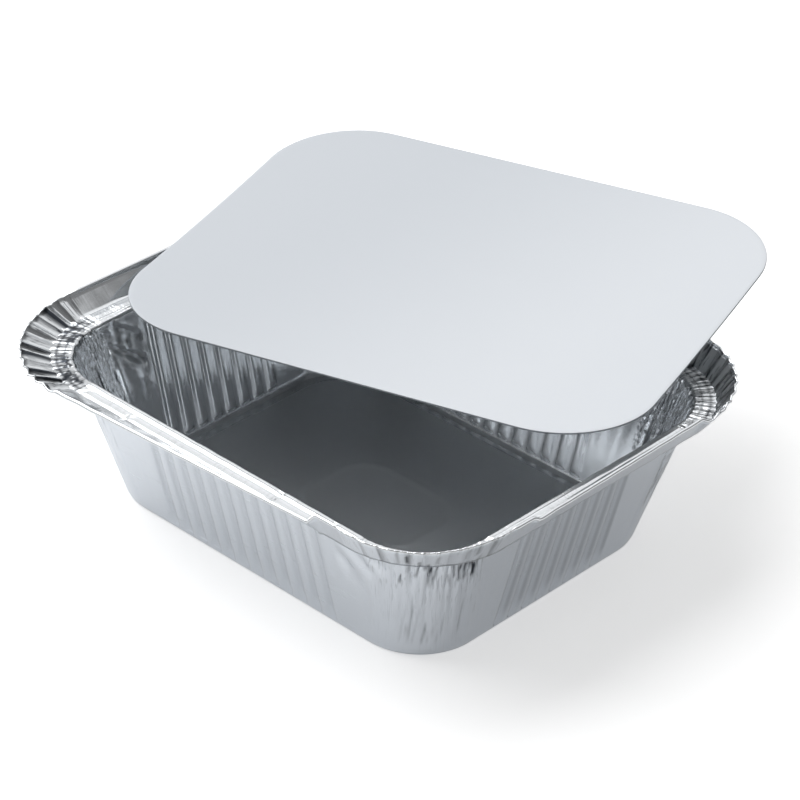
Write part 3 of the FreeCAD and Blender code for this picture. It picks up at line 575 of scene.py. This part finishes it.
def lidOutline():
    # spine point and outward heading of every column: an arc round each corner, then a straight side
    spineX, spineY = lid["half"][0] - lid["radius"], lid["half"][1] - lid["radius"]
    x, y, heading = [], [], []
    for corner, (signX, signY) in enumerate(cornerSigns):
        share = np.linspace(0, 1, lid["cornerColumns"])
        x.append(np.full(len(share), signX * spineX))
        y.append(np.full(len(share), signY * spineY))
        heading.append(np.radians(180 + 90 * corner + 90 * share))
        nextX, nextY = cornerSigns[(corner + 1) % 4]
        share = np.linspace(0, 1, lid["sideColumns"])[1:-1]
        x.append((signX + (nextX - signX) * share) * spineX)
        y.append((signY + (nextY - signY) * share) * spineY)
        heading.append(np.full(len(share), math.radians(270 + 90 * corner)))
    return (np.concatenate(v) for v in (x, y, heading))


def lidTurn():
    # first a turn about the vertical, then the shortest turn that tips the vertical onto the normal
    # of a plane with the lid's two slopes
    turn = math.radians(lid["turn"])
    spin = np.array([[math.cos(turn), -math.sin(turn), 0], [math.sin(turn), math.cos(turn), 0], [0, 0, 1]])
    riseX, riseY = lid["slopes"]
    normal = np.array([-riseX, -riseY, 1.0])
    normal /= np.linalg.norm(normal)
    axis = np.cross([0, 0, 1.0], normal)
    sine = np.linalg.norm(axis)
    axis /= sine
    cross = np.array([[0, -axis[2], axis[1]], [axis[2], 0, -axis[0]], [-axis[1], axis[0], 0]])
    return (np.eye(3) + sine * cross + (1 - normal[2]) * cross @ cross) @ spin


def buildLid(slots):
    # rounded rectangle scaled from its middle; rows run over the top, round the cut edge and back
    # under. Height is the bow, a long arc across the width, plus half the thickness up or down.
    x, y, heading = lidOutline()
    half, rounding = lid["thickness"] / 2, lid["edgeRound"]
    flat = half - rounding
    top = [(s, 0.0, half) for s in np.concatenate([np.linspace(*run) for run in lid["topRows"]])]
    quarter = np.radians(np.linspace(0, 90, lid["edgeRows"]))
    edge = [(1.0, rounding * (math.sin(q) - 1), flat + rounding * math.cos(q)) for q in quarter]
    under = [(1.0, rounding * (math.cos(q) - 1), -flat - rounding * math.sin(q)) for q in quarter]
    low = [(s, 0.0, -half) for s in np.concatenate([np.linspace(*run) for run in lid["underRows"]])]
    rows = top + edge + under + low
    points = np.zeros((len(rows), len(x), 3))
    bow = lid["half"][1] ** 2 / (2 * lid["bow"]) + lid["bow"] / 2
    for n, (scale, out, height) in enumerate(rows):
        reach = lid["radius"] * scale + out
        px = x * scale + np.cos(heading) * reach
        py = y * scale + np.sin(heading) * reach
        points[n] = np.stack([px, py, bow - np.sqrt(bow ** 2 - py ** 2) + half + height], axis=-1)
    points = points @ lidTurn().T + np.array([*lid["shift"], lid["level"]])
    # the board's core shows from one step past the upper arris to one step short of the lower one
    coreStart = len(top) + 1
    coreEnd = coreStart + 2 * lid["edgeRows"] - 3
    rowSlot = np.zeros(len(rows) - 1, int)
    rowSlot[coreStart:coreEnd] = 1
    rowSlot[coreEnd:] = 2
    return gridObject("boardLid", points, slots, closeEnd=True, rowSlot=rowSlot)


# Materials. Lengths are in millimetres.

brightSide = {
    "name": "brightSideFoil", "colour": "#E4E7EA", "metallic": 0.93, "roughness": 0.15,
    "roughnessDrop": 0.1, "wrinkleDepth": 0.26, "pebbleDepth": 0.002, "sliverShade": 0.6,
}
mattSide = {
    "name": "mattSideFoil", "colour": "#DDE2E8", "metallic": 1.0, "roughness": 0.26,
    "roughnessDrop": 0.08, "wrinkleDepth": 0.16, "pebbleDepth": 0.0015, "sliverShade": 0.22,
}
foilGrain = {
    "wrinkleWidth": 0.55, "wrinkleLength": 6.0, "wrinkleBend": 0.6, "sliverFrom": 0.57, "sliverTo": 0.64,
    "facet": 1.3, "facetDepth": 0.5, "facetStrength": 0.35, "pebble": 0.5, "fineStrength": 0.5,
    "rollingLine": 0.35, "lineStretch": 0.02, "lineDepth": 0.0015, "lineRoughness": 0.015,
    "lineFrom": 0.3, "lineTo": 0.7, "paintedShadeColour": "#2E3238",
}
# dim and light are the ends of a painted sheen, lightening the laminate from lightFrom to lightTo
laminate = {
    "dim": "#C9CED4", "light": "#DCE0E5", "lightFrom": -60, "lightTo": 50,
    "cloud": 14, "cloudShare": 0.12, "smoothest": 0.42, "roughest": 0.55, "index": 1.45,
    "fibre": 1.2, "fibreDepth": 0.02, "fibreStrength": 0.5,
}
boardCore = {"dark": "#7C8288", "light": "#9BA0A5", "roughness": 0.8, "fibre": 0.4}
boardBack = {
    "dark": "#DCDDDD", "light": "#E8E9E9", "roughness": 0.85, "fibre": 0.8, "fibreDepth": 0.02,
    "fibreStrength": 0.4,
}


def rolledFoil(look):
    # cold rolled aluminium foil: two sheets go through the last rollers together, so the side that
    # met the roller is a bright mirror and the side that met the other sheet is satin. Both have
    # faint straight rolling lines, and break into slivers and facets where the press gathered them.
    # Where a fold is closed no light comes back: that shade is painted into the colour, as dark lines
    # between the slivers and along the closed folds that the mesh marks. The real rolling lines and
    # grain are finer, and are drawn as coarse as they need to show.
    material, tree = newMaterial(look["name"])
    place = addNode(tree, "ShaderNodeTexCoord").outputs["Object"]
    sheet = addNode(tree, "ShaderNodeUVMap", uv_map="sheet").outputs["UV"]
    state = addNode(tree, "ShaderNodeAttribute", attribute_name="gather").outputs["Fac"]
    gather = addNode(tree, "ShaderNodeMath", {1: 0.0}, {0: state}, operation="MAXIMUM").outputs[0]
    # slivers: noise drawn out along the profile of the sheet
    scale = (decimetre / foilGrain["wrinkleWidth"], decimetre / foilGrain["wrinkleLength"], 1.0)
    drawn = addNode(tree, "ShaderNodeMapping", {"Scale": scale}, {"Vector": sheet}).outputs["Vector"]
    wrinkles = addNode(tree, "ShaderNodeTexNoise",
                       {"Scale": 1.0, "Detail": 2.0, "Distortion": foilGrain["wrinkleBend"]},
                       {"Vector": drawn}).outputs["Fac"]
    facets = addNode(tree, "ShaderNodeTexVoronoi", {"Scale": 1 / (foilGrain["facet"] * mm)},
                     {"Vector": place}, feature="F1").outputs["Distance"]
    pebble = addNode(tree, "ShaderNodeTexNoise", {"Scale": 1 / (foilGrain["pebble"] * mm), "Detail": 3.0},
                     {"Vector": place}).outputs["Fac"]
    stretched = addNode(tree, "ShaderNodeMapping", {"Scale": (foilGrain["lineStretch"], 1.0, 1.0)},
                        {"Vector": place}).outputs["Vector"]
    lines = addNode(tree, "ShaderNodeTexNoise", {"Scale": 1 / (foilGrain["rollingLine"] * mm), "Detail": 2.0},
                    {"Vector": stretched}).outputs["Fac"]
    # roughness: the side's own, a little uneven along the rolling lines, less where it is gathered
    uneven = foilGrain["lineRoughness"]
    plain = addNode(tree, "ShaderNodeMapRange",
                    {"From Min": foilGrain["lineFrom"], "From Max": foilGrain["lineTo"],
                     "To Min": look["roughness"] - uneven, "To Max": look["roughness"] + uneven},
                    {"Value": lines}).outputs["Result"]
    rough = addNode(tree, "ShaderNodeMath", {1: -look["roughnessDrop"]}, {0: state, 2: plain},
                    operation="MULTIPLY_ADD").outputs[0]
    slivers = addNode(tree, "ShaderNodeBump", {"Distance": look["wrinkleDepth"] * mm},
                      {"Height": wrinkles, "Strength": gather}).outputs["Normal"]
    part = addNode(tree, "ShaderNodeMath", {1: foilGrain["facetStrength"]}, {0: gather},
                   operation="MULTIPLY").outputs[0]
    facetDepth = look["wrinkleDepth"] * foilGrain["facetDepth"]
    broken = addNode(tree, "ShaderNodeBump", {"Distance": facetDepth * mm},
                     {"Height": facets, "Strength": part, "Normal": slivers}).outputs["Normal"]
    fine = foilGrain["fineStrength"]
    grained = addNode(tree, "ShaderNodeBump", {"Distance": look["pebbleDepth"] * mm, "Strength": fine},
                      {"Height": pebble, "Normal": broken}).outputs["Normal"]
    rolled = addNode(tree, "ShaderNodeBump", {"Distance": foilGrain["lineDepth"] * mm, "Strength": fine},
                     {"Height": lines, "Normal": grained}).outputs["Normal"]
    # painted shade: the mesh's dark marks, plus dark slivers where the foil is gathered, mix the colour
    # towards a near-black
    fold = addNode(tree, "ShaderNodeAttribute", attribute_name="dark").outputs["Fac"]
    sliver = addNode(tree, "ShaderNodeMapRange",
                     {"From Min": foilGrain["sliverFrom"], "From Max": foilGrain["sliverTo"],
                      "To Min": 0.0, "To Max": look["sliverShade"]}, {"Value": wrinkles}).outputs["Result"]
    closed = addNode(tree, "ShaderNodeMath", links={0: sliver, 1: gather, 2: fold},
                     operation="MULTIPLY_ADD").outputs[0]
    colour = addNode(tree, "ShaderNodeMix",
                     {6: toLinear(look["colour"]), 7: toLinear(foilGrain["paintedShadeColour"])},
                     {"Factor": closed}, data_type="RGBA").outputs[2]
    shader = addNode(tree, "ShaderNodeBsdfPrincipled", {"Metallic": look["metallic"]},
                     {"Base Color": colour, "Roughness": rough, "Normal": rolled})
    addNode(tree, "ShaderNodeOutputMaterial", links={"Surface": shader.outputs[0]})
    return material


def laminatedBoard():
    # board with a thin silver-white laminate, rolled on: nearly matt, with a painted sheen that lightens
    # its colour along its length and a faint pebble from the board's fibres below. A real fibre is much
    # finer than the pebble, here and on the cut edge and the back: it is drawn as coarse as it needs to show.
    material, tree = newMaterial("laminatedBoard")
    place = addNode(tree, "ShaderNodeTexCoord").outputs["Object"]
    fibre = addNode(tree, "ShaderNodeTexNoise", {"Scale": 1 / (laminate["fibre"] * mm), "Detail": 4.0},
                    {"Vector": place}).outputs["Fac"]
    cloud = addNode(tree, "ShaderNodeTexNoise", {"Scale": 1 / (laminate["cloud"] * mm), "Detail": 3.0},
                    {"Vector": place}).outputs["Fac"]
    # painted sheen: the colour runs from dim to light along the lid's length, with a little random cloud
    length = addNode(tree, "ShaderNodeSeparateXYZ", links={0: place}).outputs["X"]
    paintedSheen = addNode(tree, "ShaderNodeMapRange",
                    {"From Min": laminate["lightFrom"] * mm, "From Max": laminate["lightTo"] * mm},
                    {"Value": length}, interpolation_type="SMOOTHSTEP").outputs["Result"]
    mixed = addNode(tree, "ShaderNodeMath", {1: laminate["cloudShare"]}, {0: cloud, 2: paintedSheen},
                    operation="MULTIPLY_ADD").outputs[0]
    colour = addNode(tree, "ShaderNodeMix", {6: toLinear(laminate["dim"]), 7: toLinear(laminate["light"])},
                     {"Factor": mixed}, data_type="RGBA").outputs[2]
    rough = addNode(tree, "ShaderNodeMapRange",
                    {"To Min": laminate["smoothest"], "To Max": laminate["roughest"]},
                    {"Value": cloud}).outputs["Result"]
    bump = addNode(tree, "ShaderNodeBump",
                   {"Distance": laminate["fibreDepth"] * mm, "Strength": laminate["fibreStrength"]},
                   {"Height": fibre}).outputs["Normal"]
    shader = addNode(tree, "ShaderNodeBsdfPrincipled", {"Metallic": 0.0, "IOR": laminate["index"]},
                     {"Base Color": colour, "Roughness": rough, "Normal": bump})
    addNode(tree, "ShaderNodeOutputMaterial", links={"Surface": shader.outputs[0]})
    return material


def cutBoardEdge():
    # die-cut board core: grey fibres, matt, darker than the faces
    material, tree = newMaterial("cutBoardEdge")
    place = addNode(tree, "ShaderNodeTexCoord").outputs["Object"]
    fibre = addNode(tree, "ShaderNodeTexNoise", {"Scale": 1 / (boardCore["fibre"] * mm), "Detail": 3.0},
                    {"Vector": place}).outputs["Fac"]
    colour = addNode(tree, "ShaderNodeMix", {6: toLinear(boardCore["dark"]), 7: toLinear(boardCore["light"])},
                     {"Factor": fibre}, data_type="RGBA").outputs[2]
    shader = addNode(tree, "ShaderNodeBsdfPrincipled", {"Roughness": boardCore["roughness"]},
                     {"Base Color": colour})
    addNode(tree, "ShaderNodeOutputMaterial", links={"Surface": shader.outputs[0]})
    return material


def plainBoard():
    # uncoated board back: white fibre, fully matt, a little mottled
    material, tree = newMaterial("plainBoardBack")
    place = addNode(tree, "ShaderNodeTexCoord").outputs["Object"]
    fibre = addNode(tree, "ShaderNodeTexNoise", {"Scale": 1 / (boardBack["fibre"] * mm), "Detail": 4.0},
                    {"Vector": place}).outputs["Fac"]
    colour = addNode(tree, "ShaderNodeMix", {6: toLinear(boardBack["dark"]), 7: toLinear(boardBack["light"])},
                     {"Factor": fibre}, data_type="RGBA").outputs[2]
    bump = addNode(tree, "ShaderNodeBump",
                   {"Distance": boardBack["fibreDepth"] * mm, "Strength": boardBack["fibreStrength"]},
                   {"Height": fibre}).outputs["Normal"]
    shader = addNode(tree, "ShaderNodeBsdfPrincipled", {"Roughness": boardBack["roughness"]},
                     {"Base Color": colour, "Normal": bump})
    addNode(tree, "ShaderNodeOutputMaterial", links={"Surface": shader.outputs[0]})
    return material


# Pieces

foilTray = buildTray([rolledFoil(brightSide), rolledFoil(mattSide)])
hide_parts("tray")
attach(foilTray, "root")
print("tray built", len(foilTray.data.polygons))

boardLid = buildLid([laminatedBoard(), cutBoardEdge(), plainBoard()])
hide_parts("lid")
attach(boardLid, "root")
print("lid built", len(boardLid.data.polygons))


# Floor, light and camera. floorGlow keeps the floor white to the camera and in mirrors, and
# shadowLift softens the shadow for the camera alone. The foil mirrors a room that brightens from
# dimmest to brightest between two cosines of the angle from brightFrom.

stage = {
    "floorReach": 4.0, "floorColour": "#E7E7E7", "floorGlow": 0.2, "shadowLift": 0.3, "ambient": 0.33,
    "keyEnergy": 2.88, "keyAngle": 70.0, "keyFrom": (-0.8, -0.12, 0.85),
    "brightFrom": (-0.42, 0.45, 0.78), "dimBelow": 0.5, "brightAbove": 0.88,
    "dimmest": 0.225, "brightest": 1.1,
}


def seenRays(tree):
    # 1 for camera, glossy and transmission rays, 0 for the rays that light the object
    path = addNode(tree, "ShaderNodeLightPath")
    first = addNode(tree, "ShaderNodeMath",
                    links={0: path.outputs["Is Camera Ray"], 1: path.outputs["Is Glossy Ray"]},
                    operation="MAXIMUM").outputs[0]
    return addNode(tree, "ShaderNodeMath", links={0: first, 1: path.outputs["Is Transmission Ray"]},
                   operation="MAXIMUM").outputs[0]


def buildFloor():
    reach = stage["floorReach"]
    mesh = bpy.data.meshes.new("studioFloor")
    mesh.from_pydata([(x * reach, y * reach, 0) for x, y in cornerSigns], [], [(0, 1, 2, 3)])
    floor = bpy.data.objects.new("studioFloor", mesh)
    scene.collection.objects.link(floor)
    material, tree = newMaterial("whitePaperFloor")
    matt = addNode(tree, "ShaderNodeBsdfDiffuse", {"Color": toLinear(stage["floorColour"])}).outputs[0]
    base = addNode(tree, "ShaderNodeMath", {1: stage["floorGlow"]}, {0: seenRays(tree)},
                   operation="MULTIPLY").outputs[0]
    seen = addNode(tree, "ShaderNodeLightPath").outputs["Is Camera Ray"]
    lift = addNode(tree, "ShaderNodeMath", {1: stage["shadowLift"]}, {0: seen, 2: base},
                   operation="MULTIPLY_ADD").outputs[0]
    glow = addNode(tree, "ShaderNodeEmission", links={"Strength": lift}).outputs[0]
    both = addNode(tree, "ShaderNodeAddShader", links={0: matt, 1: glow}).outputs[0]
    addNode(tree, "ShaderNodeOutputMaterial", links={"Surface": both})
    mesh.materials.append(material)


def buildLight():
    world = bpy.data.worlds.new("studioWorld")
    scene.world = world
    world.use_nodes = True
    tree = world.node_tree
    tree.nodes.clear()
    # white to the camera; the foil mirrors a room that is white high behind the tray and dimmer elsewhere
    heading = addNode(tree, "ShaderNodeTexCoord").outputs["Generated"]
    bright = np.array(stage["brightFrom"]) / np.linalg.norm(stage["brightFrom"])
    towards = addNode(tree, "ShaderNodeVectorMath", {1: [float(v) for v in bright]}, {0: heading},
                      operation="DOT_PRODUCT").outputs["Value"]
    room = addNode(tree, "ShaderNodeMapRange",
                   {"From Min": stage["dimBelow"], "From Max": stage["brightAbove"],
                    "To Min": stage["dimmest"], "To Max": stage["brightest"]},
                   {"Value": towards}, interpolation_type="SMOOTHSTEP").outputs["Result"]
    path = addNode(tree, "ShaderNodeLightPath")
    shown = addNode(tree, "ShaderNodeMix", {3: 1.0}, {"Factor": path.outputs["Is Camera Ray"], 2: room},
                    data_type="FLOAT").outputs[0]
    strength = addNode(tree, "ShaderNodeMix", {2: stage["ambient"]}, {"Factor": seenRays(tree), 3: shown},
                       data_type="FLOAT").outputs[0]
    back = addNode(tree, "ShaderNodeBackground", {"Color": (1, 1, 1, 1)}, {"Strength": strength}).outputs[0]
    addNode(tree, "ShaderNodeOutputWorld", links={"Surface": back})
    lamp = bpy.data.lights.new("key", "SUN")
    lamp.energy = stage["keyEnergy"]
    lamp.angle = math.radians(stage["keyAngle"])
    key = bpy.data.objects.new("key", lamp)
    scene.collection.objects.link(key)
    key.rotation_euler = Vector(stage["keyFrom"]).to_track_quat("Z", "Y").to_euler()


# Camera, fitted to the photo: place in millimetres, angles in degrees
cameraFit = {
    "place": (444.19, -468.39, 435.78), "azimuth": 43.054, "elevation": 32.052, "roll": 1.464,
    "focalPixels": 3077.1, "imagePixels": 800.0, "sensor": 36.0, "near": 0.01, "far": 50,
}


def buildCamera():
    # back points from the object to the camera; the picture's axes are then turned by the roll
    azimuth, elevation, roll = (math.radians(cameraFit[k]) for k in ("azimuth", "elevation", "roll"))
    level = math.cos(elevation)
    back = np.array([math.sin(azimuth) * level, -math.cos(azimuth) * level, math.sin(elevation)])
    right = np.array([math.cos(azimuth), math.sin(azimuth), 0.0])
    up = np.cross(back, right)
    across = right * math.cos(roll) + up * math.sin(roll)
    upward = up * math.cos(roll) - right * math.sin(roll)
    data = bpy.data.cameras.new("camera")
    data.sensor_width = cameraFit["sensor"]
    data.sensor_fit = "HORIZONTAL"
    data.lens = cameraFit["focalPixels"] * cameraFit["sensor"] / cameraFit["imagePixels"]
    data.clip_start = cameraFit["near"]
    data.clip_end = cameraFit["far"]
    camera = bpy.data.objects.new("camera", data)
    scene.collection.objects.link(camera)
    turned = np.eye(4)
    turned[:3, 0], turned[:3, 1], turned[:3, 2] = across, upward, back
    turned[:3, 3] = np.array(cameraFit["place"]) * mm
    camera.matrix_world = Matrix(turned.tolist())
    scene.camera = camera


buildFloor()
buildLight()
buildCamera()
scene.view_settings.view_transform = "Standard"
print("stage and camera set")
